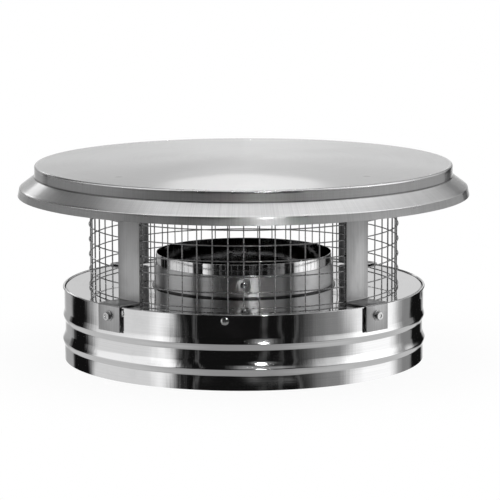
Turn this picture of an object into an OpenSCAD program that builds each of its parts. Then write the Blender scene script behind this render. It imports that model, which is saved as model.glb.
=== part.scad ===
// Chimney cap: a spun steel lid on four strap legs, a welded wire screen,
// and a beaded outer casing whose top plate carries the flue collar.
// Sheet parts are drawn as a path in radius and height, with the sheet laid to its right.

/* [Outer casing] */
// Outside diameter of the casing's plain bands
casing_d = 303.4; // [296:0.1:312]
// Height of the casing from its bottom edge to the top of its rolled rim
casing_h = 61.7; // [58:0.1:70]
// Sheet thickness of the casing
casing_sheet = 0.6; // [0.4:0.05:0.8]
// Outer radius of the rolled rim
rim_roll_r = 0.9; // [0.85:0.05:1.2]
// Height of the lower bead's crest
lower_bead_z = 17.4; // [12:0.1:19]
// Height of the upper bead's crest
upper_bead_z = 37.8; // [34:0.1:38.5]
// How far the lower bead stands out of the casing
lower_bead_h = 1.5; // [0.4:0.1:2]
// How far the upper bead stands out of the casing
upper_bead_h = 1.0; // [0.4:0.1:1.2]
// Height of the lower bead's hollow upper flank
lower_bead_rise = 7; // [4:0.1:8.8]
// Height of the upper bead's hollow upper flank
upper_bead_rise = 4.6; // [2.5:0.1:5]
// Height of each bead's lower flank
bead_fall = 5.6; // [3:0.1:6]
// How far the band between the beads lies inside the plain bands
waist_inset = 0.7; // [0:0.1:1.2]

/* [Top plate] */
// Depth of the plate below the top of the rolled rim
plate_drop = 0.8; // [0.3:0.1:2]
// Sheet thickness of the plate
plate_sheet = 0.6; // [0.4:0.05:0.8]
// Height of the plate's turned-down flange
plate_flange_h = 13; // [12:0.5:16]
// Outer radius of the bend between plate and flange
plate_bend_r = 1.6; // [1:0.1:3]

/* [Flue liner] */
// Outside diameter of the flue liner
liner_d = 148.4; // [140:0.1:156]
// Sheet thickness of the liner
liner_sheet = 0.5; // [0.4:0.05:0.6]
// Height of the liner's rim above the plate
liner_rise = 28; // [24:0.1:40]
// Height of the liner's lower end above the casing's bottom edge
liner_end_z = 14; // [12.5:0.5:20]
// Height of the drawn-in spigot at the liner's lower end
spigot_h = 38; // [25:0.5:40]
// How far the spigot is drawn in from the liner's outside
spigot_inset = 0.6; // [0.3:0.1:1.5]

/* [Collar sleeve] */
// Sheet thickness of the sleeve round the liner
sleeve_sheet = 0.7; // [0.5:0.05:0.8]
// Height of the sleeve above the plate
sleeve_h = 19; // [18:0.1:22]
// Width of the sleeve's turned-out foot, from its bore
foot_w = 3.2; // [2.4:0.1:6]
// Outer radius of the bend at the foot
foot_bend_r = 1.4; // [1:0.1:1.6]
// Azimuth where the lap seam starts
lap_start = -7; // [-12:0.5:-5]
// Azimuth of the lap seam's free edge
lap_end = 12; // [5:0.5:16]

/* [Wire screen] */
// Diameter of the circle on which the upright wires stand
screen_d = 258.8; // [250:0.1:268]
// Wire diameter
wire_d = 1.0; // [0.8:0.1:1.2]
// Number of upright wires, a multiple of four
upright_count = 64; // [48:4:72]
// Distance between hoops
hoop_pitch = 12.7; // [10:0.1:20]
// Height of the lowest hoop above the plate
hoop_lift = 1.9; // [1.2:0.1:6]

/* [Legs] */
// Width of a leg strap
leg_w = 25; // [16:0.5:28]
// Thickness of a leg strap
leg_sheet = 1.2; // [1:0.1:1.4]
// Length of the flange under the lid
leg_flange = 22; // [18:0.5:30]
// Length of the tab outside the casing
tab_drop = 21; // [14:0.1:21.2]
// Inner radius of a leg's bends
leg_bend_r = 1.0; // [1:0.1:2]
// Azimuths of the legs, 0 at the front and growing towards +X
leg_azimuths = [-45.1, 44.4, 135, 225];

/* [Lid] */
// Diameter of the lid at the brim's lower edge
lid_d = 380.2; // [360:0.1:400]
// Height of the brim's lower edge above the top plate
lid_z = 78.3; // [64:0.1:99]
// Diameter of the raised disc
disc_d = 352; // [330:0.1:354]
// Height of the disc's upright wall
disc_wall_h = 9.3; // [6:0.1:14]
// Height of the slope between brim and disc
slope_h = 9.5; // [7:0.1:14]
// Height of the brim
brim_h = 6.5; // [5:0.1:10]
// How far the brim widens towards its lower edge
brim_flare = 1.4; // [0.5:0.1:3]
// Rise of the disc's shallow cone above its edge
dome_rise = 5; // [2:0.1:12]
// Radius within which the tip of the cone is rounded off
dome_round_r = 60; // [20:1:120]
// Sheet thickness of the lid
lid_sheet = 0.8; // [0.6:0.05:1]
// Height of the doubled sheet along the brim's lower edge
hem_h = 2.2; // [1.5:0.1:4]

/* [Screws and rivets] */
// Height of a leg screw below the top of the rim
screw_drop = 8.4; // [7.5:0.1:9]
// Shank diameter of a leg screw
screw_d = 4.2; // [3.5:0.1:4.8]
// Length of a leg screw under its head
screw_length = 13; // [10:0.5:19]
// Diameter of the washer formed under the screw's head
screw_washer_d = 8.6; // [8:0.1:10]
// Width across the flats of the screw's head
screw_flats = 6.35; // [5:0.05:7]
// Height of a casing rivet below the top of the rim
casing_rivet_drop = 5.3; // [5:0.1:7]
// Body diameter of a casing rivet
casing_rivet_d = 3.2; // [2.4:0.1:4]
// Azimuths of the casing rivets, 0 at the front and growing towards +X
casing_rivet_at = [-40.7, -5.7, 77, 167, 257];
// Body diameter of a collar rivet
collar_rivet_d = 2.8; // [2.4:0.1:3.2]
// Height of the front collar rivet above the plate
lap_rivet_lift = 11.4; // [8:0.1:13]
// Height of the rear collar rivets above the plate
rear_rivet_lift = 14.3; // [8:0.1:15]
// Azimuths of the rear collar rivets
rear_rivet_at = [180, 189];

/* [Hidden] */
$fn = 96;

bend_steps = 5;    // facets in a bend
flank_steps = 8;   // facets in a bead's flank
lower_hollow = 1.5;   // how the lower bead's upper flank steepens towards its crest, 1 for a cone
upper_hollow = 1.15;  // the same for the upper bead
dome_steps = 14;   // rings of the dome
seat_gap = 0.1;    // clearance between pieces that lie on each other
sleeve_gap = 0.2;  // clearance between the sleeve and the liner
shank_gap = 0.05;  // radial clearance round a screw or rivet in the sheet it grips

casing_r = casing_d / 2;
casing_bore_r = casing_r - casing_sheet;
rim_centre = [casing_bore_r + rim_roll_r, casing_h - rim_roll_r];
rim_outer_r = rim_centre[0] + rim_roll_r;
plate_z = casing_h - plate_drop;
plate_flange_r = casing_bore_r - seat_gap;
liner_r = liner_d / 2;
liner_top_z = plate_z + liner_rise;
sleeve_bore_r = liner_r + sleeve_gap;
sleeve_r = sleeve_bore_r + sleeve_sheet;
lap_r = sleeve_r + sleeve_sheet;

// The screen: uprights on their circle, hoops welded round their outside
upright_r = screen_d / 2;
hoop_r = upright_r + wire_d + seat_gap / 2;
first_hoop_z = plate_z + hoop_lift;

// The lid: heights of its corners, and the hyperbola that rounds the tip of its cone
brim_z = plate_z + lid_z;
brim_top_z = brim_z + brim_h;
slope_top_z = brim_top_z + slope_h;
disc_z = slope_top_z + disc_wall_h;
disc_r = disc_d / 2;
brim_r = lid_d / 2;
function reach(r) = norm([dome_round_r, r]);
dome_fall = dome_rise / (reach(disc_r) - dome_round_r);
function dome_z(r) = disc_z + dome_fall * (reach(disc_r) - reach(r));
function under_lid_z(r) = dome_z(r) - lid_sheet * norm([1, dome_fall * r / reach(r)]);
upright_top_z = under_lid_z(upright_r + wire_d) - 2 * seat_gap;
hoop_count = floor((upright_top_z - wire_d / 2 - first_hoop_z) / hoop_pitch) + 1;

// The legs: the upright strap touches the hoops, the tab hangs outside the rolled rim
leg_face_r = hoop_r + wire_d / 2 + seat_gap / 2;
strap_z = casing_h + seat_gap;
tab_face_r = rim_outer_r + seat_gap;
screw_z = casing_h - screw_drop;
screw_seat_r = tab_face_r + leg_sheet;
casing_rivet_z = casing_h - casing_rivet_drop;

// Small radii of the lid's spun corners
disc_corner_r = 1.8;
slope_corner_r = 3;
brim_corner_r = 1.4;

// A point moved onto the sheet's other face, at the mitre of its two neighbours
function unit(v) = v / norm(v);
function right_of(v) = [v[1], -v[0]];
function mitre(path, i, t) =
    let (last = len(path) - 1,
         before = right_of(unit(path[max(i, 1)] - path[max(i, 1) - 1])),
         after = right_of(unit(path[min(i, last - 1) + 1] - path[min(i, last - 1)])),
         middle = unit(before + after))
    path[i] + middle * t / (middle * after);

// Outline of a sheet of thickness t, laid to the right of its path
function sheet(path, t) =
    concat(path, [for (i = [len(path) - 1:-1:0]) mitre(path, i, t)]);

// Points of an arc, both ends included
function arc(centre, r, from, to) =
    [for (i = [0:bend_steps])
        let (a = from + (to - from) * i / bend_steps) centre + r * [cos(a), sin(a)]];

// Points that round the corner b, between a and c, with radius r
function bend(a, b, c, r) =
    let (u = unit(a - b), v = unit(c - b),
         half = acos(u * v) / 2,
         centre = b + unit(u + v) * r / sin(half),
         start = b + u * r / tan(half) - centre,
         turn = sign(u[1] * v[0] - u[0] * v[1]) * (180 - 2 * half),
         from = atan2(start[1], start[0]))
    arc(centre, r, from, from + turn);

// Points of a flank that eases from one radius and height to another, without its first
function flank(from, to) =
    [for (i = [1:flank_steps])
        let (s = i / flank_steps)
        [from[0] + (to[0] - from[0]) * (1 - cos(180 * s)) / 2, from[1] + (to[1] - from[1]) * s]];

// Points of a hollow flank that runs up from a crest to a band, without its first
function hollow_flank(crest, band, hollow) =
    [for (i = [1:flank_steps])
        let (s = i / flank_steps)
        [band[0] + (crest[0] - band[0]) * pow(1 - s, hollow), crest[1] + (band[1] - crest[1]) * s]];

// Puts what is drawn along +X at an azimuth, counted from the front (-Y) towards +X
module at_azimuth(a) {
    rotate([0, 0, a - 90]) children();
}

// A round hole through a sheet, along the radius
module radial_hole(a, r, z, hole_r, depth) {
    at_azimuth(a)
        translate([r - depth, 0, z])
            rotate([0, 90, 0])
                cylinder(r = hole_r, h = 2 * depth);
}

// Holes for the leg screws and the casing rivets, shared by casing and plate
hole_reach = 4;
module casing_holes() {
    for (a = leg_azimuths)
        radial_hole(a, casing_r, screw_z, screw_d / 2 + shank_gap, hole_reach);
    for (a = casing_rivet_at)
        radial_hole(a, casing_r, casing_rivet_z, casing_rivet_d / 2 + shank_gap, hole_reach);
}

// Holes for the rivets that tie the sleeve to the liner
module collar_holes() {
    hole_r = collar_rivet_d / 2 + shank_gap;
    radial_hole(0, liner_r, plate_z + lap_rivet_lift, hole_r, hole_reach);
    for (a = rear_rivet_at)
        radial_hole(a, liner_r, plate_z + rear_rivet_lift, hole_r, hole_reach);
}

// Rolled band with two outward beads and a rim rolled outwards
module outer_casing() {
    r = casing_bore_r;
    waist_r = r - waist_inset;
    lower_crest = [r + lower_bead_h, lower_bead_z];
    upper_crest = [r + upper_bead_h, upper_bead_z];
    lower_foot = [r, lower_bead_z - bead_fall];
    waist_low = [waist_r, lower_bead_z + lower_bead_rise];
    waist_high = [waist_r, upper_bead_z - bead_fall];
    upper_head = [r, upper_bead_z + upper_bead_rise];
    path = concat(
        [[r, 0], lower_foot],
        flank(lower_foot, lower_crest),
        hollow_flank(lower_crest, waist_low, lower_hollow),
        [waist_high],
        flank(waist_high, upper_crest),
        hollow_flank(upper_crest, upper_head, upper_hollow),
        arc(rim_centre, rim_roll_r, 180, 90),
        [for (p = arc(rim_centre, rim_roll_r, 90, 0)) if (p[0] > rim_centre[0] + 0.01) p]);
    color("silver")
        difference() {
            rotate_extrude() polygon(sheet(path, casing_sheet));
            casing_holes();
        }
}

// Flat ring round the liner, with a flange turned down inside the casing
module top_plate() {
    corner = [plate_flange_r, plate_z];
    inner = [liner_r + sleeve_gap, plate_z];
    lower = [plate_flange_r, plate_z - plate_flange_h];
    path = concat([inner], bend(inner, corner, lower, plate_bend_r), [lower]);
    color("gainsboro")
        difference() {
            rotate_extrude() polygon(sheet(path, plate_sheet));
            casing_holes();
        }
}

// Tube whose lower end is drawn in to a spigot that slips into the flue
module flue_liner() {
    spigot_r = liner_r - spigot_inset;
    spigot_top_z = liner_end_z + spigot_h;
    swage_h = 3 * spigot_inset;
    path = [
        [liner_r, liner_top_z],
        [liner_r, spigot_top_z + swage_h],
        [spigot_r, spigot_top_z],
        [spigot_r, liner_end_z]];
    color("lightgray")
        difference() {
            rotate_extrude() polygon(sheet(path, liner_sheet));
            collar_holes();
        }
}

// Strip rolled round the liner, with a turned-out foot on the plate and a riveted lap
module collar_sleeve() {
    foot_z = plate_z + seat_gap;
    toe = [sleeve_bore_r + foot_w, foot_z];
    heel = [sleeve_bore_r, foot_z];
    top = [sleeve_bore_r, plate_z + sleeve_h];
    lap_low_z = foot_z + foot_bend_r;
    color("silver")
        difference() {
            union() {
                rotate_extrude()
                    polygon(sheet(concat([toe], bend(toe, heel, top, foot_bend_r), [top]), sleeve_sheet));
                rotate([0, 0, lap_start - 90])
                    rotate_extrude(angle = lap_end - lap_start)
                        translate([sleeve_r - sleeve_sheet / 2, lap_low_z])
                            square([sleeve_sheet * 1.5, top[1] - lap_low_z]);
            }
            collar_holes();
        }
}

// Upright wires of the screen
module screen_uprights() {
    foot_z = plate_z + seat_gap;
    color("darkgray")
        for (i = [0:upright_count - 1])
            at_azimuth(360 / upright_count * i)
                translate([upright_r, 0, foot_z])
                    cylinder(d = wire_d, h = upright_top_z - foot_z);
}

// Hoops welded round the uprights
module screen_hoops() {
    color("gray")
        for (i = [0:hoop_count - 1])
            translate([0, 0, first_hoop_z + hoop_pitch * i])
                rotate_extrude()
                    translate([hoop_r, 0])
                        circle(d = wire_d);
}

// Strap bent under the lid, down past the screen, over the rim and down the casing
module leg(a) {
    outer_bend_r = leg_bend_r + leg_sheet;
    tab_foot = [tab_face_r, strap_z - tab_drop];
    tab_head = [tab_face_r, strap_z];
    strap_heel = [leg_face_r, strap_z];
    strap_head = [leg_face_r, under_lid_z(leg_face_r) - seat_gap];
    flange_r = leg_face_r + leg_flange;
    flange_toe = [flange_r, under_lid_z(flange_r) - seat_gap];
    path = concat(
        [tab_foot],
        bend(tab_foot, tab_head, strap_heel, leg_bend_r),
        bend(tab_head, strap_heel, strap_head, outer_bend_r),
        bend(strap_heel, strap_head, flange_toe, outer_bend_r),
        [flange_toe]);
    color("silver")
        difference() {
            at_azimuth(a)
                rotate([90, 0, 0])
                    linear_extrude(height = leg_w, center = true)
                        polygon(sheet(path, leg_sheet));
            radial_hole(a, tab_face_r, screw_z, screw_d / 2 + 2 * shank_gap, hole_reach);
        }
}

// Self-tapping screw with a hexagon head on a formed washer
module leg_screw(a) {
    washer_h = 0.9;
    head_h = 3.4;
    crown_h = 0.5;
    dimple_d = 3.2;
    dimple_h = 0.6;
    tip_h = 3;
    seat = 0.02;
    color("dimgray")
        at_azimuth(a)
            translate([screw_seat_r + seat, 0, screw_z])
                rotate([0, 90, 0])
                    difference() {
                        union() {
                            rotate_extrude()
                                polygon([
                                    [0, -screw_length],
                                    [screw_d / 2, tip_h - screw_length],
                                    [screw_d / 2, 0],
                                    [screw_washer_d / 2, 0],
                                    [screw_washer_d / 2, washer_h / 2],
                                    [screw_washer_d / 2 - washer_h / 2, washer_h],
                                    [0, washer_h]]);
                            intersection() {
                                cylinder(d = screw_flats / cos(30), h = head_h, $fn = 6);
                                rotate_extrude()
                                    polygon([
                                        [0, 0],
                                        [screw_flats, 0],
                                        [screw_flats, head_h - 2 * crown_h],
                                        [screw_flats / 2, head_h],
                                        [0, head_h]]);
                            }
                        }
                        translate([0, 0, head_h - dimple_h])
                            cylinder(d = dimple_d, h = 2 * dimple_h);
                    }
}

// Blind rivet: a low domed head outside, an upset tail inside, the broken stem's pit
module rivet(a, seat_r, z, body_d, grip) {
    head_r = body_d;
    head_h = body_d * 0.28;
    edge_h = head_h * 0.35;
    pit_r = body_d * 0.28;
    pit_h = head_h * 0.6;
    tail_r = body_d * 0.72;
    tail_h = body_d * 0.8;
    seat = 0.02;
    dome = [for (i = [0:bend_steps])
        let (s = i / bend_steps)
        [head_r + (pit_r - head_r) * s, edge_h + (head_h - edge_h) * sin(90 * s)]];
    color("gray")
        at_azimuth(a)
            translate([seat_r + seat, 0, z])
                rotate([0, 90, 0])
                    rotate_extrude()
                        polygon(concat(
                            [[0, -grip - tail_h],
                             [tail_r * 0.7, -grip - tail_h],
                             [tail_r, -grip - tail_h * 0.6],
                             [tail_r, -grip],
                             [body_d / 2, -grip],
                             [body_d / 2, 0],
                             [head_r, 0]],
                            dome,
                            [[pit_r, head_h - pit_h], [0, head_h - pit_h]]));
}

// Grip of a casing rivet: casing, gap and plate flange, and room for the sheet's curve
casing_grip = casing_sheet + seat_gap + plate_sheet + seat_gap;
module casing_rivet(i) {
    rivet(casing_rivet_at[i], casing_r, casing_rivet_z, casing_rivet_d, casing_grip);
}

// Grip of a collar rivet: sleeve, gap and liner, with one more sheet at the lap
collar_grip = sleeve_sheet + sleeve_gap + liner_sheet + seat_gap;
module lap_rivet() {
    rivet(0, lap_r, plate_z + lap_rivet_lift, collar_rivet_d, collar_grip + sleeve_sheet);
}
module rear_rivet(i) {
    rivet(rear_rivet_at[i], sleeve_r, plate_z + rear_rivet_lift, collar_rivet_d, collar_grip);
}

// Spun lid: shallow rounded cone, upright wall, slope and brim with a doubled lower edge
module lid() {
    disc_edge = [disc_r, disc_z];
    slope_top = [disc_r, slope_top_z];
    brim_top = [brim_r - brim_flare, brim_top_z];
    brim_low = [brim_r, brim_z];
    dome = [for (i = [0:dome_steps])
        let (r = (disc_r - 2 * disc_corner_r) * i / dome_steps) [r, dome_z(r)]];
    hem_top = brim_low + unit(brim_top - brim_low) * hem_h;
    path = concat(
        dome,
        bend(dome[dome_steps], disc_edge, slope_top, disc_corner_r),
        bend(disc_edge, slope_top, brim_top, slope_corner_r),
        bend(slope_top, brim_top, brim_low, brim_corner_r),
        [brim_low]);
    outline = [for (p = sheet(path, lid_sheet)) [max(p[0], 0), p[1]]];
    color("silver")
        rotate_extrude() {
            polygon(outline);
            polygon(sheet([hem_top, brim_low], 2 * lid_sheet));
        }
}

lid();
leg(leg_azimuths[0]);  // leg_front_left
leg(leg_azimuths[1]);  // leg_front_right
leg(leg_azimuths[2]);  // leg_rear_right
leg(leg_azimuths[3]);  // leg_rear_left
leg_screw(leg_azimuths[0]);  // leg_screw_front_left
leg_screw(leg_azimuths[1]);  // leg_screw_front_right
leg_screw(leg_azimuths[2]);  // leg_screw_rear_right
leg_screw(leg_azimuths[3]);  // leg_screw_rear_left
outer_casing();
top_plate();
flue_liner();
collar_sleeve();
screen_uprights();
screen_hoops();
casing_rivet(0);  // casing_rivet_seam
casing_rivet(1);  // casing_rivet_front
casing_rivet(2);  // casing_rivet_right
casing_rivet(3);  // casing_rivet_rear
casing_rivet(4);  // casing_rivet_left
lap_rivet();  // collar_rivet_lap
rear_rivet(0);  // collar_rivet_rear_a
rear_rivet(1);  // collar_rivet_rear_b
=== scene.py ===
"""Chimney cap: the shape and finish of every piece, the studio light and the camera.

Lengths in the modelling functions are millimetres, in the frame's own axes: +Z up the cap's axis,
-Y towards the front. Each piece is built in place, so that its object sits at the origin.
"""

import math
import random

import bmesh
import bpy
from mathutils import Matrix, Vector


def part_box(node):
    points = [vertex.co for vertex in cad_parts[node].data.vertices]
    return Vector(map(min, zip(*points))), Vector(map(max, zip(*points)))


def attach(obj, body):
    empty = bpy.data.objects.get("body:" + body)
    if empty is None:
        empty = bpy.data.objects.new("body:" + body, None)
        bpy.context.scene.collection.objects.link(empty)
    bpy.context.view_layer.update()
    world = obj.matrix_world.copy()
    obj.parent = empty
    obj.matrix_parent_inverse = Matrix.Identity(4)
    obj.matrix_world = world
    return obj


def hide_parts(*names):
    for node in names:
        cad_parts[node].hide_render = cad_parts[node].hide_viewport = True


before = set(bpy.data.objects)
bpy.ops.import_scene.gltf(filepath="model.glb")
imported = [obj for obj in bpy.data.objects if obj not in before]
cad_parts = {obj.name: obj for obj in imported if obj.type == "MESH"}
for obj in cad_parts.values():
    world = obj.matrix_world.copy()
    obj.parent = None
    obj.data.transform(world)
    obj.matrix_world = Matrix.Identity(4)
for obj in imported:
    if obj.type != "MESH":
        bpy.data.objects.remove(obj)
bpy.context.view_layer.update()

MM = 0.001
BODY = "root"
LEG_AZIMUTHS = {"front_left": -45.1, "front_right": 44.4, "rear_right": 135, "rear_left": 225}
CASING_RIVETS = {"seam": -40.7, "front": -5.7, "right": 77, "rear": 167, "left": 257}

# Sizes that the frame gives
lid_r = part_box("lid")[1].x / MM
lid_top_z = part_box("lid")[1].z / MM
brim_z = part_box("lid")[0].z / MM
rim_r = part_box("outer_casing")[1].x / MM
rim_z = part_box("outer_casing")[1].z / MM
plate_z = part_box("top_plate")[1].z / MM
plate_flange_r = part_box("top_plate")[1].x / MM
flange_low_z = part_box("top_plate")[0].z / MM
liner_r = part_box("flue_liner")[1].x / MM
liner_low_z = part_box("flue_liner")[0].z / MM
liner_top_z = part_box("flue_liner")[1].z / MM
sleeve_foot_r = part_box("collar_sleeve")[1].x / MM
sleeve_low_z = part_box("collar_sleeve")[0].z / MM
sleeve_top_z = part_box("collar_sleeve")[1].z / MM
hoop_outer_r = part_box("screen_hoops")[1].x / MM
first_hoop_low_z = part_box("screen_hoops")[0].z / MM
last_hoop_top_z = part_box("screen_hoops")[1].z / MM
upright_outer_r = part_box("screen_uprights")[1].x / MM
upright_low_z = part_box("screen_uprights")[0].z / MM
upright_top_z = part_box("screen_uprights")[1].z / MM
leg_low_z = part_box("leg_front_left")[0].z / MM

# Sizes of the sheet metal and the wire, as the frame has them
casing_sheet = 0.6
casing_bore_r = rim_r - 1.8
casing_r = casing_bore_r + casing_sheet
rim_roll_r = 0.9
lid_sheet = 0.8
disc_r = 176
dome_rise = 5
dome_round_r = 60
disc_edge_z = lid_top_z - dome_rise
wall_foot_z = brim_z + 16
brim_top_r, brim_top_z = lid_r - 1.4, brim_z + 6.5
strap_sheet = 1.2
strap_face_r = hoop_outer_r + 0.05
casing_rivet_z = rim_z - 5.3
leg_screw_z = rim_z - 8.4
lap_rivet_z = plate_z + 11.4
rear_rivet_z = plate_z + 14.3
wire_r = 0.5
upright_count = 64
hoop_count = 9
spin_steps = 288


def cut_corner(before, corner, after, radius, steps, support):
    """Points that round one corner of an outline, with a support point on each straight side."""
    a, b, c = Vector(before), Vector(corner), Vector(after)
    u, v = (a - b).normalized(), (c - b).normalized()
    half = math.acos(max(-1, min(1, u.dot(v)))) / 2
    reach = radius / math.tan(half)
    centre = b + (u + v).normalized() * (radius / math.sin(half))
    start, end = b + u * reach - centre, b + v * reach - centre
    turn = start.angle_signed(end)
    points = []
    if (a - b).length > reach + 2 * support:
        points.append(b + u * (reach + support))
    for i in range(steps + 1):
        points.append(centre + Matrix.Rotation(-turn * i / steps, 2) @ start)
    if (c - b).length > reach + 2 * support:
        points.append(b + v * (reach + support))
    return points


def rounded(path, radii, steps=8, support=0.5):
    """An open path whose corners are rounded; radii holds one radius for each inner corner."""
    points = [Vector(path[0])]
    for before, corner, after, radius in zip(path, path[1:], path[2:], radii):
        points += cut_corner(before, corner, after, radius, steps, support)
    return points + [Vector(path[-1])]


def eased(start, end, steps=16):
    """Points of a pressed flank between two levels, without its first."""
    points = []
    for i in range(1, steps + 1):
        s = i / steps
        across = (1 - math.cos(math.pi * s)) / 2
        points.append(Vector((
            start[0] + (end[0] - start[0]) * across, start[1] + (end[1] - start[1]) * s)))
    return points


def hollow(crest, band, bow, steps=14):
    """Points of a hollow flank that runs up from a bead's crest to a band, without its first."""
    points = []
    for i in range(1, steps + 1):
        s = i / steps
        points.append(Vector((
            band[0] + (crest[0] - band[0]) * (1 - s) ** bow, crest[1] + (band[1] - crest[1]) * s)))
    return points


def sheet_outline(path, thickness):
    """Closed outline of a sheet of this thickness, laid to the right of its path."""
    other = []
    for i, p in enumerate(path):
        before = (path[max(i, 1)] - path[max(i, 1) - 1]).normalized()
        after = (path[min(i, len(path) - 2) + 1] - path[min(i, len(path) - 2)]).normalized()
        side_a, side_b = Vector((before.y, -before.x)), Vector((after.y, -after.x))
        middle = (side_a + side_b).normalized()
        other.append(p + middle * (thickness / middle.dot(side_b)))
    return list(path) + other[::-1]


def finish_mesh(bm, name, sharp_degrees=32):
    """Turns a bmesh in millimetres into an object in metres with smooth, correctly split shading."""
    bmesh.ops.remove_doubles(bm, verts=bm.verts, dist=0.0005)
    bmesh.ops.recalc_face_normals(bm, faces=bm.faces)
    bmesh.ops.scale(bm, verts=bm.verts, vec=(MM, MM, MM))
    for face in bm.faces:
        face.smooth = True
    for edge in bm.edges:
        edge.smooth = edge.is_manifold and edge.calc_face_angle() < math.radians(sharp_degrees)
    mesh = bpy.data.meshes.new(name)
    bm.to_mesh(mesh)
    bm.free()
    piece = bpy.data.objects.new(name, mesh)
    bpy.context.scene.collection.objects.link(piece)
    return piece


def spin_outline(bm, outline, steps=spin_steps, closed=True):
    """Spins an outline in (radius, height) once round the cap's axis."""
    verts = [bm.verts.new((max(p[0], 0), 0, p[1])) for p in outline]
    pairs = list(zip(verts, verts[1:])) + ([(verts[-1], verts[0])] if closed else [])
    edges = [bm.edges.new(pair) for pair in pairs if (pair[0].co - pair[1].co).length > 1e-6]
    bmesh.ops.spin(
        bm, geom=verts + edges, cent=(0, 0, 0), axis=(0, 0, 1), dvec=(0, 0, 0),
        angle=2 * math.pi, steps=steps, use_merge=True, use_duplicate=False)


def spun(name, outline):
    """A finished piece that is one outline spun round the cap's axis."""
    bm = bmesh.new()
    spin_outline(bm, outline)
    return finish_mesh(bm, name)


def turn_to_azimuth(bm, verts, azimuth):
    """Turns what lies along +X to an azimuth, counted from the front towards +X."""
    turn = Matrix.Rotation(math.radians(azimuth - 90), 3, "Z")
    bmesh.ops.rotate(bm, verts=verts, cent=(0, 0, 0), matrix=turn)


# The lid

def dome_z(r):
    """Height of the lid's top at a radius: a shallow cone whose tip is rounded off."""
    fall = dome_rise / (math.hypot(dome_round_r, disc_r) - dome_round_r)
    return lid_top_z - fall * (math.hypot(dome_round_r, r) - dome_round_r)


def build_lid():
    """One spun sheet: disc, upright wall, slope, and a brim whose edge is folded back inside."""
    disc_edge = Vector((disc_r, disc_edge_z))
    slope_top = Vector((disc_r, wall_foot_z))
    brim_top = Vector((brim_top_r, brim_top_z))
    brim_low = Vector((lid_r, brim_z))
    edge_round, foot_round, brim_round = 1.8, 1.2, 1.4
    hem_width = 2.2
    dome_reach = disc_r - 3.6
    dome_rings = 40
    dome = [Vector((dome_reach * i / dome_rings, dome_z(dome_reach * i / dome_rings)))
            for i in range(dome_rings + 1)]
    shoulder = rounded(
        [dome[-1], disc_edge, slope_top, brim_top, brim_low],
        [edge_round, foot_round, brim_round], steps=9, support=0.35)
    path = dome + shoulder[1:]
    down = (brim_low - brim_top).normalized()
    hem_top = brim_low - down * hem_width
    inward = Vector((down.y, -down.x))
    outer, inner = path, sheet_outline(path, lid_sheet)[len(path):]
    hem = [brim_low + inward * 2 * lid_sheet, hem_top + inward * 2 * lid_sheet,
           hem_top + inward * lid_sheet]
    outline = outer + hem + inner[1:]
    lid = spun("lid_spun", outline)
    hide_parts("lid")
    return lid


# The casing and its top plate

def bead(foot, crest, band, bow):
    """Points of one bead, from its foot over a tight crest to the band above it."""
    below, above = eased(foot, crest), hollow(crest, band, bow)
    crest_round = 0.9
    nose = cut_corner(below[-4], crest, above[1], crest_round, steps=6, support=0.1)
    return [Vector(foot)] + below[:-4] + nose + above[2:]


def build_casing():
    """Band with two beads, drawn in between them, and a rim rolled outwards."""
    r = casing_bore_r
    waist_r = r - 0.7
    lower_z, upper_z = 17.4, 37.8
    lower_proud, upper_proud = 1.5, 1.0
    lower_bow, upper_bow = 1.5, 1.15
    fall, lower_rise, upper_rise = 5.6, 7.0, 4.6
    level, straight = 0.5, 0.6
    waist_low, waist_high = (waist_r, lower_z + lower_rise), (waist_r, upper_z - fall)
    upper_head = (r, upper_z + upper_rise)
    path = [Vector((r, 0)), Vector((r, 0.3)), Vector((r, lower_z - fall - level))]
    path += bead((r, lower_z - fall), (r + lower_proud, lower_z), waist_low, lower_bow)
    path += [Vector((waist_r, waist_low[1] + level)), Vector((waist_r, waist_high[1] - level))]
    path += bead(waist_high, (r + upper_proud, upper_z), upper_head, upper_bow)
    path.append(Vector((r, upper_head[1] + level)))
    roll_steps = 18
    roll = Vector((r + rim_roll_r, rim_z - rim_roll_r))
    path.append(Vector((r, roll.y - straight)))
    for i in range(roll_steps + 1):
        a = math.pi * (1 - i / roll_steps)
        path.append(roll + rim_roll_r * Vector((math.cos(a), math.sin(a))))
    casing = spun("casing_rolled", sheet_outline(path, casing_sheet))
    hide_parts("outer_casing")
    return casing


def build_plate():
    """Ring between casing and liner, with its outer edge turned down."""
    sheet, bend = 0.6, 1.6
    inner = Vector((liner_r + 0.2, plate_z))
    corner = Vector((plate_flange_r, plate_z))
    lower = Vector((plate_flange_r, flange_low_z))
    path = rounded([inner, corner, lower], [bend], steps=9, support=0.4)
    plate = spun("plate_pressed", sheet_outline(path, sheet))
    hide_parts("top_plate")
    return plate


# The flue liner and its sleeve

def build_liner():
    """Tube whose lower end is drawn in to a spigot."""
    sheet, spigot_length, swage_length, swage_round = 0.5, 38, 1.8, 1.5
    spigot_r = liner_r - 0.6
    swage_low = liner_low_z + spigot_length
    swage_high = swage_low + swage_length
    path = rounded(
        [(liner_r, liner_top_z), (liner_r, swage_high), (spigot_r, swage_low), (spigot_r, liner_low_z)],
        [swage_round, swage_round], steps=3, support=0.3)
    liner = spun("liner_rolled", sheet_outline(path, sheet))
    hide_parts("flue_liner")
    return liner


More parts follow.
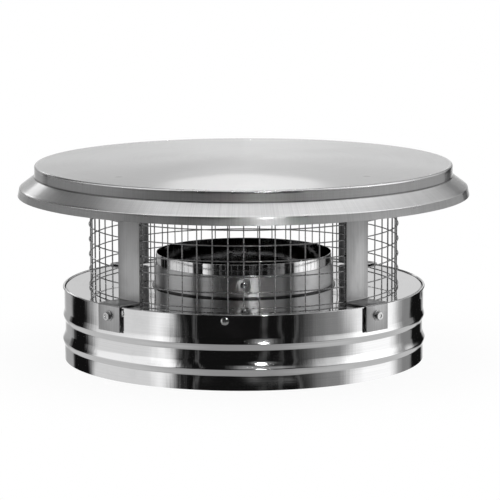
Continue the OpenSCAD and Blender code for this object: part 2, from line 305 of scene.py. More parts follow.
def build_sleeve():
    """Strip round the liner: a turned-out foot, and a lap whose end lies on the outside."""
    sheet, foot_round = 0.7, 1.4
    bore_r = liner_r + 0.2
    toe, heel = Vector((sleeve_foot_r, sleeve_low_z)), Vector((bore_r, sleeve_low_z))
    top = Vector((bore_r, sleeve_top_z))
    path = rounded([toe, heel, top], [foot_round], steps=8, support=0.3)
    bm = bmesh.new()
    spin_outline(bm, sheet_outline(path, sheet))
    lap_low_z = sleeve_low_z + foot_round
    lap = [(bore_r + sheet, lap_low_z), (bore_r + 2 * sheet, lap_low_z),
           (bore_r + 2 * sheet, sleeve_top_z), (bore_r + sheet, sleeve_top_z)]
    lap_start, lap_end, lap_steps = -7, 12, 16
    verts = [bm.verts.new((p[0], 0, p[1])) for p in lap]
    face = bm.faces.new(verts)
    turn_to_azimuth(bm, verts, lap_start)
    bmesh.ops.spin(
        bm, geom=[face] + list(face.edges) + verts, cent=(0, 0, 0), axis=(0, 0, 1), dvec=(0, 0, 0),
        angle=math.radians(lap_end - lap_start), steps=lap_steps, use_merge=False, use_duplicate=False)
    sleeve = finish_mesh(bm, "sleeve_rolled")
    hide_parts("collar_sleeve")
    return sleeve


# The wire screen

def add_copy(bm, template):
    """Adds a template mesh to a bmesh and returns the new vertices."""
    before = len(bm.verts)
    bm.from_mesh(template)
    bm.verts.ensure_lookup_table()
    return bm.verts[before:]


def wire_template(length, sides, bends):
    """A straight wire from the origin up, divided so that it can sway."""
    bm = bmesh.new()
    bmesh.ops.create_cone(
        bm, cap_ends=True, segments=sides, radius1=wire_r, radius2=wire_r, depth=length,
        matrix=Matrix.Translation((0, 0, length / 2)))
    along = [e for e in bm.edges if abs(e.verts[0].co.z - e.verts[1].co.z) > length / 2]
    bmesh.ops.subdivide_edges(bm, edges=along, cuts=bends - 1, use_grid_fill=True)
    mesh = bpy.data.meshes.new("wire_template")
    bm.to_mesh(mesh)
    bm.free()
    return mesh


def build_uprights():
    """Upright wires, each leaning and swaying by a hair."""
    lean_most, bow_most = 0.25, 0.12
    r = upright_outer_r - wire_r
    length = upright_top_z - upright_low_z
    template = wire_template(length, sides=8, bends=18)
    rng = random.Random(7)
    bm = bmesh.new()
    for i in range(upright_count):
        wire = add_copy(bm, template)
        lean, bow = rng.uniform(-lean_most, lean_most), rng.uniform(-bow_most, bow_most)
        for v in wire:
            rise = v.co.z / length
            v.co.y += lean * (rise - 0.5) + bow * math.sin(math.pi * rise * 3)
        bmesh.ops.translate(bm, verts=wire, vec=(r, 0, upright_low_z))
        turn_to_azimuth(bm, wire, 360 / upright_count * i)
    bpy.data.meshes.remove(template)
    wires = finish_mesh(bm, "screen_upright_wires", sharp_degrees=60)
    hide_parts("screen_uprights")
    return wires


def build_hoops():
    """Hoops round the uprights, with a small weld at every crossing."""
    sides, hoop_steps, weld_r, weld_depth = 10, 320, 0.55, 0.5
    hoop_r = hoop_outer_r - wire_r
    first_z = first_hoop_low_z + wire_r
    pitch = (last_hoop_top_z - wire_r - first_z) / (hoop_count - 1)
    angles = [math.tau * k / sides for k in range(sides)]
    section = [(hoop_r + wire_r * math.cos(a), wire_r * math.sin(a)) for a in angles]
    bm = bmesh.new()
    spin_outline(bm, section, steps=hoop_steps)
    for i in range(upright_count):
        weld = bmesh.ops.create_icosphere(bm, subdivisions=1, radius=weld_r)["verts"]
        bmesh.ops.scale(bm, verts=weld, vec=(0.7, 1, 1))
        bmesh.ops.translate(bm, verts=weld, vec=(hoop_r - weld_depth, 0, 0))
        turn_to_azimuth(bm, weld, 360 / upright_count * i)
    template = bpy.data.meshes.new("hoop_template")
    bm.to_mesh(template)
    bm.free()
    bm = bmesh.new()
    for i in range(hoop_count):
        hoop = add_copy(bm, template)
        bmesh.ops.translate(bm, verts=hoop, vec=(0, 0, first_z + pitch * i))
    bpy.data.meshes.remove(template)
    hoops = finish_mesh(bm, "screen_hoop_wires", sharp_degrees=60)
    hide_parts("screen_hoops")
    return hoops


# The legs

def under_lid(r):
    """Height of a strap's flange below the lid at a radius, clear of the lid's sloping sheet."""
    sheet_on_slope, clearance = lid_sheet * 1.0006, 0.1
    return dome_z(r) - sheet_on_slope - clearance


def build_leg(place, azimuth):
    """One strap: flange under the lid, upright, foot over the rim and tab down the casing."""
    width, sheet, bend, clearance, flange = 25, strap_sheet, 1.0, 0.1, 22
    edge_ease, square = 0.18, 60
    face_r = strap_face_r
    strap_z = rim_z + clearance
    tab_r = rim_r + clearance
    toe_r = face_r + flange
    path = rounded(
        [Vector((tab_r, leg_low_z)), Vector((tab_r, strap_z)), Vector((face_r, strap_z)),
         Vector((face_r, under_lid(face_r))), Vector((toe_r, under_lid(toe_r)))],
        [bend, bend + sheet, bend + sheet], steps=7, support=0.3)
    outline = sheet_outline(path, sheet)
    bm = bmesh.new()
    verts = [bm.verts.new((p.x, -width / 2, p.y)) for p in outline]
    face = bm.faces.new(verts)
    out = bmesh.ops.extrude_face_region(bm, geom=[face])["geom"]
    moved = [v for v in out if isinstance(v, bmesh.types.BMVert)]
    bmesh.ops.translate(bm, verts=moved, vec=(0, width, 0))
    bmesh.ops.recalc_face_normals(bm, faces=bm.faces)
    sheared = [e for e in bm.edges if e.is_manifold and e.calc_face_angle() > math.radians(square)]
    bmesh.ops.bevel(
        bm, geom=sheared, offset=edge_ease, offset_type="OFFSET", segments=2, profile=0.5,
        affect="EDGES", material=-1)
    turn_to_azimuth(bm, list(bm.verts), azimuth)
    leg = finish_mesh(bm, "strap_leg_" + place, sharp_degrees=40)
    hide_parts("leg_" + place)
    return leg


# Screws and rivets

def set_on_radius(bm, name, seat_r, z, azimuth, sharp_degrees):
    """Finishes a piece built along +Z so that it points outwards from its seat at an azimuth."""
    clearance = 0.02
    bmesh.ops.rotate(bm, verts=bm.verts, cent=(0, 0, 0), matrix=Matrix.Rotation(math.pi / 2, 3, "Y"))
    bmesh.ops.translate(bm, verts=bm.verts, vec=(seat_r + clearance, 0, z))
    turn_to_azimuth(bm, list(bm.verts), azimuth)
    return finish_mesh(bm, name, sharp_degrees)


def build_screw(place, azimuth):
    """Self-tapping screw: indented hexagon head, washer formed under it, thread and point."""
    washer_r, washer_h, core_r, crest_r, length = 4.3, 0.9, 1.7, 2.1, 13
    flats, head_h, dimple_r, dimple_h, chamfer_h = 6.35, 3.4, 1.6, 0.6, 0.34
    corner_r = flats * 0.578
    pitch, turns, turn_steps = 1.4, 6, 20
    root_r, thread_z, thread_half = core_r - 0.1, -1.6, 0.4
    bm = bmesh.new()
    body = rounded(
        [(0, washer_h), (washer_r - 0.45, washer_h), (washer_r, 0.45), (washer_r, 0), (core_r, 0),
         (core_r, 3 - length), (0, -length)],
        [0.5, 0.3, 0.12, 0.2, 0.4], steps=4, support=0.05)
    spin_outline(bm, body, steps=48, closed=False)
    before = set(bm.verts)
    head = rounded(
        [(0, head_h - dimple_h), (dimple_r, head_h - dimple_h), (dimple_r, head_h),
         (flats / 2, head_h), (corner_r, head_h - chamfer_h), (corner_r, washer_h - 0.1)],
        [0.25, 0.15, 0.3, 0.2], steps=4, support=0.05)
    spin_outline(bm, head, steps=48, closed=False)
    for v in set(bm.verts) - before:
        r = math.hypot(v.co.x, v.co.y)
        side = math.atan2(v.co.y, v.co.x) % (math.pi / 3) - math.pi / 6
        reach = flats / 2 / math.cos(side)
        if r > reach:
            v.co.x, v.co.y = v.co.x * reach / r, v.co.y * reach / r
    ridge = [bm.verts.new(p) for p in (
        (root_r, 0, thread_z + thread_half), (crest_r, 0, thread_z),
        (root_r, 0, thread_z - thread_half))]
    face = bm.faces.new(ridge)
    bmesh.ops.spin(
        bm, geom=[face] + list(face.edges) + ridge, cent=(0, 0, 0), axis=(0, 0, 1),
        dvec=(0, 0, -pitch / turn_steps), angle=math.tau * turns, steps=turn_steps * turns,
        use_merge=False, use_duplicate=False)
    tab_face_r = rim_r + 0.1 + strap_sheet
    screw = set_on_radius(bm, "hex_washer_screw_" + place, tab_face_r, leg_screw_z, azimuth, 35)
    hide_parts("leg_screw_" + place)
    return screw


def build_rivet(node, azimuth, seat_r, z, body_d, grip):
    """Blind rivet: low domed head with the pit of its broken stem, and an upset tail."""
    head_r, head_h, edge_h = body_d, body_d * 0.28, body_d * 0.1
    pit_r, pit_h, body_r = body_d * 0.28, body_d * 0.17, body_d / 2
    tail_r, tail_h = body_d * 0.72, body_d * 0.8
    dome = []
    for i in range(11):
        s = i / 10
        rise = (head_h - edge_h) * math.cos(math.pi / 2 * s)
        dome.append((pit_r + (head_r - pit_r) * s, edge_h + rise))
    outline = rounded(
        [(0, head_h - pit_h), (pit_r, head_h - pit_h)] + dome
        + [(head_r, 0), (body_r, 0), (body_r, -grip), (tail_r, -grip), (tail_r, -grip - tail_h * 0.6),
           (tail_r * 0.7, -grip - tail_h), (0, -grip - tail_h)],
        [0.1, 0.08] + [0.02] * 9 + [0.1, 0.08, 0.02, 0.05, 0.2, 0.3, 0.3], steps=3, support=0.03)
    bm = bmesh.new()
    spin_outline(bm, outline, steps=32, closed=False)
    rivet = set_on_radius(bm, node.replace("rivet", "blind_rivet"), seat_r, z, azimuth, 40)
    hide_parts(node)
    return rivet


def build_rivets():
    """Five rivets through the casing, one through the sleeve's lap and two through its rear."""
    casing_body_d, casing_grip = 3.2, 1.4
    collar_body_d, lap_grip, rear_grip = 2.8, 2.2, 1.5
    sleeve_r, lap_sheet = liner_r + 0.9, 0.7
    rivets = [build_rivet(
        "casing_rivet_" + place, azimuth, casing_r, casing_rivet_z, casing_body_d, casing_grip)
        for place, azimuth in CASING_RIVETS.items()]
    rivets.append(build_rivet(
        "collar_rivet_lap", 0, sleeve_r + lap_sheet, lap_rivet_z, collar_body_d, lap_grip))
    for place, azimuth in (("a", 180), ("b", 189)):
        rivets.append(build_rivet(
            "collar_rivet_rear_" + place, azimuth, sleeve_r, rear_rivet_z, collar_body_d, rear_grip))
    return rivets


# Materials

class Recipe:
    """Short calls for the nodes of one material."""

    def __init__(self, tree):
        self.tree = tree

    def node(self, kind, **settings):
        made = self.tree.nodes.new("ShaderNode" + kind)
        for key, value in settings.items():
            setattr(made, key, value)
        return made

    def feed(self, socket, value):
        if isinstance(value, bpy.types.NodeSocket):
            self.tree.links.new(value, socket)
        else:
            socket.default_value = value

    def math(self, operation, *values):
        made = self.node("Math", operation=operation)
        for socket, value in zip(made.inputs, values):
            self.feed(socket, value)
        return made.outputs[0]

    def vector(self, operation, *values):
        made = self.node("VectorMath", operation=operation)
        for socket, value in zip(made.inputs, values):
            self.feed(socket, value)
        return made.outputs["Value" if operation in ("LENGTH", "DOT_PRODUCT", "DISTANCE") else "Vector"]

    def step(self, value, low, high, to_low=0.0, to_high=1.0):
        """Eases from to_low to to_high while the value goes from low to high."""
        made = self.node("MapRange", interpolation_type="SMOOTHSTEP")
        for socket, given in zip(made.inputs, (value, low, high, to_low, to_high)):
            self.feed(socket, given)
        return made.outputs[0]

    def place(self):
        """The surface's place in metres, in the frame's axes."""
        return self.node("TexCoord").outputs["Object"]

    def flat_place(self):
        """The surface's place without its height."""
        return self.vector("MULTIPLY", self.place(), (1, 1, 0))

    def radius(self):
        """Distance of the surface's place from the cap's axis."""
        return self.vector("LENGTH", self.flat_place())

    def parts_of(self, vector):
        """The x, y and z of a vector."""
        split = self.node("SeparateXYZ")
        self.feed(split.inputs[0], vector)
        return split.outputs

    def stretched(self, scale):
        """The surface's place, multiplied along each axis, as a pattern's coordinates."""
        return self.vector("MULTIPLY", self.place(), scale)

    def noise(self, vector, detail=3, roughness=0.5):
        made = self.node("TexNoise")
        made.inputs["Scale"].default_value = 1
        made.inputs["Detail"].default_value = detail
        made.inputs["Roughness"].default_value = roughness
        self.feed(made.inputs["Vector"], vector)
        return made.outputs["Fac"]

    def mix_colour(self, factor, first, second):
        made = self.node("Mix", data_type="RGBA")
        self.feed(made.inputs[0], factor)
        self.feed(made.inputs[6], first)
        self.feed(made.inputs[7], second)
        return made.outputs[2]

    def bump(self, height, distance, normal=None):
        """A normal raised by a height from 0 to 1 over a distance in metres."""
        made = self.node("Bump")
        made.inputs["Strength"].default_value = 1
        made.inputs["Distance"].default_value = distance
        self.feed(made.inputs["Height"], height)
        if normal is not None:
            self.feed(made.inputs["Normal"], normal)
        return made.outputs[0]

    def round_axis(self):
        """The direction round the cap's axis at the surface's place."""
        return self.vector("CROSS_PRODUCT", (0, 0, 1), self.place())

    def seen_by_metal(self):
        """1 for the rays that mirror or pass through, 0 for all others."""
        ray = self.node("LightPath")
        return self.math("MAXIMUM", ray.outputs["Is Glossy Ray"], ray.outputs["Is Transmission Ray"])

    def mix_shader(self, factor, first, second):
        made = self.node("MixShader")
        for socket, value in zip(made.inputs, (factor, first, second)):
            self.feed(socket, value)
        return made.outputs[0]


def greys(*levels):
    """Steel greys, a trace cooler than neutral."""
    cool = 1.005
    return [(g, g, g * cool, 1) for g in levels]


def new_steel(name, anisotropic=0.0):
    """A metal; where it is anisotropic, its grain runs round the cap's axis."""
    material = bpy.data.materials.new(name)
    material.use_nodes = True
    recipe = Recipe(material.node_tree)
    shader = material.node_tree.nodes["Principled BSDF"]
    shader.inputs["Metallic"].default_value = 1
    if anisotropic:
        shader.inputs["Anisotropic"].default_value = anisotropic
        shader.inputs["Anisotropic Rotation"].default_value = 0.25
        recipe.feed(shader.inputs["Tangent"], recipe.round_axis())
    return material, recipe, shader


def grain_round(recipe, fineness):
    """Fine lines that run round the axis: quick changes in height and radius, slow ones along them."""
    height = recipe.parts_of(recipe.place())[2]
    join = recipe.node("CombineXYZ")
    recipe.feed(join.inputs[0], recipe.math("MULTIPLY", recipe.radius(), fineness))
    recipe.feed(join.inputs[1], recipe.math("MULTIPLY", height, fineness))
    drift = recipe.stretched((9, 9, 0))
    return recipe.noise(recipe.vector("ADD", join.outputs[0], drift), detail=4, roughness=0.65)


def upright_streaks(recipe, fineness):
    """Streaks that run up a wall: quick changes round the axis, slow ones in height."""
    return recipe.noise(recipe.stretched((fineness, fineness, 6)), detail=3, roughness=0.6)


def rolled_mirror(name, grey, roughness, waviness, lines):
    """Bright rolled sheet: a mirror with faint roll lines, a soft wave and thumbed smears."""
    material, recipe, shader = new_steel(name, anisotropic=0.5)
    lines_round = grain_round(recipe, 1400)
    smears = recipe.noise(recipe.stretched((26, 26, 40)), detail=5, roughness=0.62)
    colour = recipe.mix_colour(recipe.step(lines_round, 0.3, 0.7), *greys(grey * 0.95, grey * 1.03))
    recipe.feed(shader.inputs["Base Color"], recipe.mix_colour(
        recipe.step(smears, 0.52, 0.75), colour, greys(grey * 0.93)[0]))
    recipe.feed(shader.inputs["Roughness"], recipe.step(smears, 0.42, 0.78, roughness, roughness * 2.4))
    wave = recipe.noise(recipe.stretched((20, 20, 28)), detail=1)
    kinks = upright_streaks(recipe, 95)
    normal = recipe.bump(wave, waviness)
    normal = recipe.bump(kinks, waviness * 0.055, normal)
    recipe.feed(shader.inputs["Normal"], recipe.bump(lines_round, lines, normal))
    return material


def outward_lines(recipe, fineness):
    """Fine lines that change only round the axis: they run up a strap or wall and out on the disc."""
    heading = recipe.vector(
        "MULTIPLY", recipe.vector("NORMALIZE", recipe.flat_place()), (fineness, fineness, 0))
    drift = recipe.stretched((7, 7, 12))
    return recipe.noise(recipe.vector("ADD", heading, drift), detail=5, roughness=0.65)


def spots(recipe, points, radius, soft):
    """1 within a radius of any of these points, easing to 0 outside."""
    mask = 0.0
    for point in points:
        gap = recipe.vector("DISTANCE", recipe.place(), point)
        mask = recipe.math("MAXIMUM", mask, recipe.step(gap, radius, radius + soft, 1, 0))
    return mask


def near_ring(recipe, ring_r, ring_z, radius, soft):
    """1 near a ring round the cap's axis, easing to 0; all in metres."""
    height = recipe.parts_of(recipe.place())[2]
    gap = recipe.node("CombineXYZ")
    recipe.feed(gap.inputs[0], recipe.math("SUBTRACT", recipe.radius(), ring_r))
    recipe.feed(gap.inputs[1], recipe.math("SUBTRACT", height, ring_z))
    return recipe.step(recipe.vector("LENGTH", gap.outputs[0]), radius, radius + soft, 1, 0)


def spun_satin(name, grey):
    """Lid: brushed in rings by its spinning, with rubbed edges, painted shade at the foot of its wall
    and four spot welds.
    """
    material, recipe, shader = new_steel(name, anisotropic=0.55)
    rings = grain_round(recipe, 700)
    smears = recipe.noise(recipe.stretched((14, 14, 30)), detail=5, roughness=0.6)
    pulls = outward_lines(recipe, 70)
    weld_r, weld_core, weld_edge = 142, (0.0012, 0.0008), (0.0024, 0.0012)
    streak_grey, weld_grey, crease_shade_grey = grey * 0.84, grey * 0.55, 0.04
    dent_depth, pull_depth = 0.00008, 0.000006
    welds = []
    for azimuth in LEG_AZIMUTHS.values():
        turn = math.radians(azimuth)
        welds.append((
            weld_r * MM * math.sin(turn), -weld_r * MM * math.cos(turn), dome_z(weld_r) * MM))
    centre, edge = spots(recipe, welds, *weld_core), spots(recipe, welds, *weld_edge)
    colour = recipe.mix_colour(recipe.step(rings, 0.3, 0.7), *greys(grey * 0.96, grey * 1.03))
    colour = recipe.mix_colour(recipe.step(pulls, 0.5, 0.75, 0, 0.6), colour, greys(grey * 0.93)[0])
    skirt = recipe.step(recipe.radius(), (disc_r - 1.5) * MM, (disc_r + 0.5) * MM, 0, 0.9)
    streaks = recipe.step(outward_lines(recipe, 330), 0.42, 0.68)
    colour = recipe.mix_colour(recipe.math("MULTIPLY", streaks, skirt), colour, greys(streak_grey)[0])
    colour = recipe.mix_colour(recipe.math("MULTIPLY", edge, 0.55), colour, greys(weld_grey)[0])
    # Painted shade: the sheet is darkened in the corner at the foot of the wall, where shade falls.
    crease_shade_mask = near_ring(recipe, disc_r * MM, wall_foot_z * MM, 0.0004, 0.0007)
    recipe.feed(shader.inputs["Base Color"], recipe.mix_colour(
        recipe.math("MULTIPLY", crease_shade_mask, 0.8), colour, greys(crease_shade_grey)[0]))
    rubbed = recipe.math(
        "MAXIMUM", near_ring(recipe, (disc_r - 1) * MM, (disc_edge_z - 1) * MM, 0.0016, 0.001),
        near_ring(recipe, (brim_top_r - 0.4) * MM, (brim_top_z - 0.2) * MM, 0.0012, 0.0008))
    satin = recipe.step(smears, 0.35, 0.7, 0.36, 0.44)
    recipe.feed(shader.inputs["Roughness"], recipe.math(
        "SUBTRACT", satin, recipe.math("MULTIPLY", rubbed, 0.1)))
    dent = recipe.math("SUBTRACT", recipe.math("MULTIPLY", centre, 0.5), edge)
    recipe.feed(
        shader.inputs["Normal"], recipe.bump(dent, dent_depth, recipe.bump(pulls, pull_depth)))
    shader.inputs["Coat Weight"].default_value = 1
    shader.inputs["Coat IOR"].default_value = 1.3
    shader.inputs["Coat Roughness"].default_value = 0.028
    recipe.feed(shader.inputs["Coat Normal"], recipe.bump(dent, dent_depth))
    return material


def rolled_satin(name, grey):
    """Sleeve: dull rolled strip whose lines run round the collar, pressed in round the lap rivet, with
    painted shade along its foot.
    """
    material, recipe, shader = new_steel(name, anisotropic=0.5)
    crease_shade_grey, wave_depth, press_depth, line_depth = 0.03, 0.0001, 0.0004, 0.00001
    lines = grain_round(recipe, 1500)
    smears = recipe.noise(recipe.stretched((45, 45, 60)), detail=5, roughness=0.62)
    colour = recipe.mix_colour(recipe.step(lines, 0.3, 0.7), *greys(grey * 0.93, grey * 1.05))
    colour = recipe.mix_colour(recipe.step(smears, 0.5, 0.75), colour, greys(grey * 0.88)[0])
    height = recipe.parts_of(recipe.place())[2]
    # Painted shade: the strip is darkened just above its foot, where shade falls in the fold against
    # the plate.
    crease_shade_mask = recipe.step(height, (sleeve_low_z + 0.7) * MM, (sleeve_low_z + 1.7) * MM, 0.95, 0)
    recipe.feed(shader.inputs["Base Color"], recipe.mix_colour(crease_shade_mask, colour, greys(crease_shade_grey)[0]))
    recipe.feed(shader.inputs["Roughness"], recipe.step(smears, 0.4, 0.75, 0.32, 0.4))
    normal = recipe.bump(recipe.noise(recipe.stretched((60, 60, 40)), detail=1), wave_depth)
    lap_rivet = (0, -(liner_r + 1.6) * MM, lap_rivet_z * MM)
    pressed = recipe.math("SUBTRACT", 1, spots(recipe, [lap_rivet], 0.0014, 0.0055))
    normal = recipe.bump(pressed, press_depth, normal)
    recipe.feed(shader.inputs["Normal"], recipe.bump(lines, line_depth, normal))
    return material


def strap_satin(name, grey):
    """Legs: dull strip with scratches along its length, with painted shade on the side that faces the
    axis.
    """
    material, recipe, shader = new_steel(name)
    inner_shade_grey, inner_shade_share, dent_depth, scratch_depth = 0.08, 0.85, 0.00004, 0.000008
    scratches = outward_lines(recipe, 160)
    smears = recipe.noise(recipe.stretched((70, 70, 40)), detail=5, roughness=0.6)
    colour = recipe.mix_colour(recipe.step(scratches, 0.35, 0.7), *greys(grey * 1.05, grey * 0.9))
    colour = recipe.mix_colour(recipe.step(smears, 0.5, 0.75), colour, greys(grey * 0.87)[0])
    out = 0.0
    for azimuth in LEG_AZIMUTHS.values():
        turn = math.radians(azimuth)
        heading = (math.sin(turn), -math.cos(turn), 0)
        out = recipe.math("MAXIMUM", out, recipe.vector("DOT_PRODUCT", recipe.place(), heading))
    # Painted shade: the strap's face towards the axis is darkened, where shade falls inside the cap.
    inside = recipe.step(out, (strap_face_r + 0.3) * MM, (strap_face_r + 0.9) * MM, inner_shade_share, 0)
    recipe.feed(shader.inputs["Base Color"], recipe.mix_colour(inside, colour, greys(inner_shade_grey)[0]))
    recipe.feed(shader.inputs["Roughness"], recipe.step(smears, 0.35, 0.7, 0.34, 0.44))
    normal = recipe.bump(recipe.noise(recipe.stretched((90, 90, 60)), detail=2), dent_depth)
    recipe.feed(shader.inputs["Normal"], recipe.bump(scratches, scratch_depth, normal))
    return material


def bright_metal(name, grey, roughness, grain, dents):
    """Wire, screws and rivets: bright, with small dull patches and fine dents."""
    material, recipe, shader = new_steel(name)
    patches = recipe.noise(recipe.stretched((grain, grain, grain)), detail=4, roughness=0.6)
    recipe.feed(shader.inputs["Base Color"], recipe.mix_colour(
        recipe.step(patches, 0.42, 0.68), *greys(grey, grey * 0.8)))
    recipe.feed(shader.inputs["Roughness"], recipe.step(patches, 0.4, 0.7, roughness, roughness * 1.9))
    pits = recipe.noise(recipe.stretched((grain * 3, grain * 3, grain * 3)), detail=2)
    recipe.feed(shader.inputs["Normal"], recipe.bump(pits, dents))
    return material


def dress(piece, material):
    """Gives a piece its material and fixes it to the cap."""
    piece.data.materials.clear()
    piece.data.materials.append(material)
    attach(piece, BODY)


# The studio

def bare_material(name):
    """A material whose nodes are all still to be made."""
    material = bpy.data.materials.new(name)
    material.use_nodes = True
    material.node_tree.nodes.clear()
    return material, Recipe(material.node_tree)


def build_floor():
    """White sweep. It holds the cap's shadow; past the cap its mirror image is left to the studio.
    Within the casing it is painted dark, as painted shade.
    """
    floor_r = 12 / MM
    shadow_end, shadow_veil, shade_under_cap = (0.15, 0.35), 0.9, 0.03
    bm = bmesh.new()
    bmesh.ops.create_circle(bm, cap_ends=True, segments=128, radius=floor_r)
    floor = finish_mesh(bm, "studio_floor")
    material, recipe = bare_material("studio_floor_white")
    outward = recipe.vector("LENGTH", recipe.place())
    outside = recipe.math("GREATER_THAN", outward, casing_bore_r * MM)
    shade = recipe.node("BsdfDiffuse")
    # Painted shade: the floor within the casing's bore is made near black.
    recipe.feed(shade.inputs["Color"], recipe.mix_colour(outside, *greys(shade_under_cap, 1)))
    away = recipe.step(outward, *shadow_end, shadow_veil, 1)
    eye = recipe.node("LightPath").outputs["Is Camera Ray"]
    lit = recipe.mix_shader(
        recipe.math("MULTIPLY", away, eye), shade.outputs[0], recipe.node("Emission").outputs[0])
    mirrored = recipe.math("MULTIPLY", outside, recipe.seen_by_metal())
    recipe.feed(recipe.node("OutputMaterial").inputs[0], recipe.mix_shader(
        mirrored, lit, recipe.node("BsdfTransparent").outputs[0]))
    floor.data.materials.append(material)


def build_card(side, start, end, low_z, high_z, levels, front_share):
    """A grey card held close beside the lid, which only the metal sees; it is duller to the front."""
    card_r, steps = 262, 24
    front_reach, rise = (0.13, 0.235), (0.145, 0.175)
    bm = bmesh.new()
    verts = [bm.verts.new((card_r, 0, z)) for z in (low_z, high_z)]
    edge = bm.edges.new(verts)
    turn_to_azimuth(bm, verts, start)
    bmesh.ops.spin(
        bm, geom=verts + [edge], cent=(0, 0, 0), axis=(0, 0, 1), dvec=(0, 0, 0),
        angle=math.radians(end - start), steps=steps, use_merge=False, use_duplicate=False)
    card = finish_mesh(bm, "studio_card_" + side)
    material, recipe = bare_material("studio_card_" + side)
    x, y, z = recipe.parts_of(recipe.place())
    share = recipe.step(recipe.math("ABSOLUTE", x), *front_reach, front_share, 1)
    grey = recipe.node("Emission")
    recipe.feed(grey.inputs["Strength"], recipe.math(
        "MULTIPLY", share, recipe.step(z, *rise, *levels)))
    recipe.feed(recipe.node("OutputMaterial").inputs[0], grey.outputs[0])
    card.data.materials.append(material)
    card.visible_camera = card.visible_diffuse = card.visible_shadow = False
    card.visible_transmission = False


def build_camera():
    """The photo's own view, as fitted to the ellipses of its rims."""
    camera = bpy.data.objects.new("photo_camera", bpy.data.cameras.new("photo_camera"))
    bpy.context.scene.collection.objects.link(camera)
    camera.data.sensor_width = 36
    camera.data.lens = 199.04
    camera.data.shift_x = 0.0127
    camera.data.clip_start, camera.data.clip_end = 0.1, 60
    pitch, roll = 9.011, -0.172
    back, up = -2.3124, 0.45645
    tilt = Matrix.Rotation(math.radians(90 - pitch), 4, "X")
    camera.matrix_world = (
        Matrix.Translation((0, back, up)) @ tilt @ Matrix.Rotation(math.radians(roll), 4, "Z"))
    bpy.context.scene.camera = camera


# What the metal mirrors, by azimuth in degrees (0 towards the camera, + to its right) and by height
# in degrees over the horizon.
# Each soft light rises from its first azimuth to its second, falls from its third to its fourth, and
# ends with its strength. A high one begins between the two heights after that.
LEFT_SOFTBOX = [(-121, -106, -56, -37, 0.8), (-66, -54, -49, -41, 0.3)]
RIGHT_SOFTBOX = [(30, 60, 133, 138, 0.26), (60, 84, 104, 122, 1.0)]
FAINT_STRIPS = [(-38, -36.8, -36.2, -35, 0.03), (-31.5, -30.3, -29.7, -28.5, 0.08),
                (22.3, 23.5, 24, 25.2, 0.05), (31, 33, 33.5, 35.5, 0.07)]
HIGH_SOFTBOXES = [(-121, -106, -50, -36, 0.3, 2, 12), (38, 62, 104, 122, 0.5, 2, 12),
                  (-166, -156, -146, -134, 0.12, 2, 12), (118, 130, 148, 158, 0.7, 2, 12),
                  (-16, 0, 24, 42, 0.3, 27, 33)]
BACKDROP_LEFT = [(-190, -189, -144, -137, 0.42), (-190, -189, -176, -158, 0.45)]
BACKDROP_RIGHT = [(157, 163, 189, 190, 0.48), (163, 176, 189, 190, 0.45)]
# What is mirrored where nothing shines
FRONT_DARK = 0.007
# The floor below and the ceiling above: where each begins, and its level (the floor's is that in
# front and that at the sides, between the turns given).
FLOOR_EDGE = (-20, -15)
FLOOR_LEVEL = (0.34, 0.62)
FLOOR_TURN = (20, 90)
OVERHEAD_EDGE = (52, 72)
OVERHEAD_LEVEL = 1.3
# The backdrop is dimmed by a share past each of two heights, within its reach. A bright pane stands
# at its middle, which the lid's top mirrors in front of its tip.
BACK_REACH = (135, 150)
BACK_LOW = (-4, 0, 0.2)
BACK_TOP = (15, 24, 0.85)
BACK_MIDDLE = (177.0, 179.4, 0.09)
BACK_STEP = (11.2, 11.45, 0.58)
BACK_STEP_REACH = (177.6, 178.5)
# Lamps and their glow: flat is how much their height counts against their width.
FRONT_LAMP = {"azimuth": 11.5, "height": 22, "flat": 0.8, "core": 1.2, "spread": 4, "strength": 46}
REAR_LAMP = {"azimuth": -158, "height": 19, "flat": 1, "core": 3, "spread": 8, "strength": 1.6}
LAMP_GLOW = {"azimuth": 11.5, "height": 17, "flat": 0.8, "core": 1, "spread": 13, "strength": 0.3}
FLOOR_GLOW = {"azimuth": 12, "height": -10, "flat": 1, "core": 1, "spread": 4.5, "strength": 0.06}
# Cards: azimuths and heights (mm) that each spans, its grey low and high, its share to the front
LEFT_CARD = {
    "start": -96, "end": -22, "low_z": 98, "high_z": 205, "levels": (0.24, 0.32), "front_share": 0.35}
RIGHT_CARD = {
    "start": 20, "end": 104, "low_z": 98, "high_z": 190, "levels": (0.36, 0.36), "front_share": 0.85}


def soft_light(recipe, azimuth, shape):
    """An upright soft light between two azimuths."""
    start, full, fade, end, strength = shape
    rise = recipe.step(azimuth, start, full)
    fall = recipe.step(azimuth, fade, end, 1, 0)
    return recipe.math("MULTIPLY", recipe.math("MULTIPLY", rise, fall), strength)


def lamp(recipe, azimuth, height, shape):
    """A round or upright oval lamp, in degrees from its middle."""
    across = recipe.math("SUBTRACT", azimuth, shape["azimuth"])
    up = recipe.math("MULTIPLY", recipe.math("SUBTRACT", height, shape["height"]), shape["flat"])
    off = recipe.math("SQRT", recipe.math(
        "ADD", recipe.math("POWER", recipe.math("ABSOLUTE", across), 2),
        recipe.math("POWER", recipe.math("ABSOLUTE", up), 2)))
    return recipe.step(off, shape["core"], shape["spread"], shape["strength"], 0)


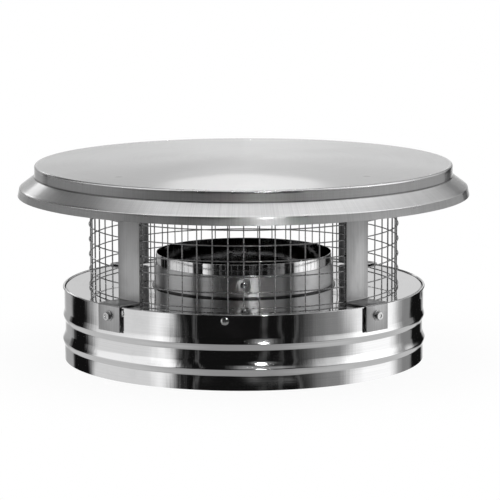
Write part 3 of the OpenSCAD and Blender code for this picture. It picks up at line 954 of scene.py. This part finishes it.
def build_world():
    """Plain white to the eye and as room light; what the metal mirrors is a studio with softboxes."""
    world = bpy.data.worlds.new("studio")
    bpy.context.scene.world = world
    world.use_nodes = True
    world.cycles.sampling_method = "NONE"
    recipe = Recipe(world.node_tree)
    recipe.tree.nodes.clear()
    x, y, z = recipe.parts_of(recipe.node("TexCoord").outputs["Generated"])
    to_degrees = 180 / math.pi
    azimuth = recipe.math(
        "MULTIPLY", recipe.math("ARCTAN2", x, recipe.math("MULTIPLY", y, -1)), to_degrees)
    height = recipe.math("MULTIPLY", recipe.math("ARCSINE", z), to_degrees)
    sides = FRONT_DARK
    for shape in LEFT_SOFTBOX + RIGHT_SOFTBOX + FAINT_STRIPS + BACKDROP_LEFT + BACKDROP_RIGHT:
        sides = recipe.math("ADD", sides, soft_light(recipe, azimuth, shape))
    turn = recipe.math("ABSOLUTE", azimuth)
    for edge in (BACK_LOW, BACK_TOP):
        dimming = recipe.math(
            "MULTIPLY", recipe.step(turn, *BACK_REACH), recipe.step(height, *edge[:2], 0, edge[2]))
        sides = recipe.math("MULTIPLY", sides, recipe.math("SUBTRACT", 1, dimming))
    for shape in HIGH_SOFTBOXES:
        light = recipe.math(
            "MULTIPLY", soft_light(recipe, azimuth, shape[:5]), recipe.step(height, *shape[5:]))
        sides = recipe.math("ADD", sides, light)
    pane = recipe.math(
        "MULTIPLY", recipe.step(turn, *BACK_STEP_REACH),
        recipe.step(height, *BACK_STEP[:2], 0, BACK_STEP[2]))
    middle = recipe.math("MULTIPLY", recipe.step(turn, *BACK_MIDDLE[:2]), BACK_MIDDLE[2])
    sides = recipe.math("ADD", sides, recipe.math("ADD", pane, middle))
    for shape in (FRONT_LAMP, LAMP_GLOW, FLOOR_GLOW, REAR_LAMP):
        sides = recipe.math("ADD", sides, lamp(recipe, azimuth, height, shape))
    floor_level = recipe.step(turn, *FLOOR_TURN, *FLOOR_LEVEL)
    high = recipe.step(height, *OVERHEAD_EDGE)
    sides = recipe.math(
        "ADD", recipe.math("MULTIPLY", sides, recipe.math("SUBTRACT", 1, high)),
        recipe.math("MULTIPLY", high, OVERHEAD_LEVEL))
    above = recipe.step(height, *FLOOR_EDGE)
    mirrored = recipe.math(
        "ADD", recipe.math("MULTIPLY", sides, above),
        recipe.math("MULTIPLY", recipe.math("SUBTRACT", 1, above), floor_level))
    studio = recipe.node("Background")
    grey = recipe.node("CombineXYZ")
    for socket in grey.inputs:
        recipe.feed(socket, mirrored)
    recipe.feed(studio.inputs["Color"], grey.outputs[0])
    plain = recipe.node("Background")
    plain.inputs["Color"].default_value = (1, 1, 1, 1)
    recipe.feed(recipe.node("OutputWorld").inputs[0], recipe.mix_shader(
        recipe.seen_by_metal(), plain.outputs[0], studio.outputs[0]))


casing_finish = rolled_mirror("casing_rolled_mirror", 0.76, 0.05, 0.0016, 0.00001)
plate_finish = rolled_mirror("plate_rolled_mirror", 0.72, 0.045, 0.0005, 0.000006)
liner_finish = rolled_mirror("liner_rolled_mirror", 0.74, 0.05, 0.0006, 0.000008)
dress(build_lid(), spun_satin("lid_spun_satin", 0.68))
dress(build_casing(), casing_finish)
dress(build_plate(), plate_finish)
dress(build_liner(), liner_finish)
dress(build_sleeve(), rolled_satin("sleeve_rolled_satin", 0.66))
wire_finish = bright_metal("screen_drawn_wire", 0.45, 0.2, 500, 0.00001)
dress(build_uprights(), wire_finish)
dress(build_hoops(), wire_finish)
strap_finish = strap_satin("strap_satin", 0.46)
screw_finish = bright_metal("screw_zinc", 0.58, 0.14, 700, 0.00001)
for place, azimuth in LEG_AZIMUTHS.items():
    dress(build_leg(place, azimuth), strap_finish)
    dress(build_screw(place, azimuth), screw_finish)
rivet_finish = bright_metal("rivet_bright", 0.58, 0.13, 900, 0.000008)
for rivet in build_rivets():
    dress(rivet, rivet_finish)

build_floor()
build_card("left", **LEFT_CARD)
build_card("right", **RIGHT_CARD)
build_camera()
build_world()

bpy.context.scene.view_settings.view_transform = "Standard"
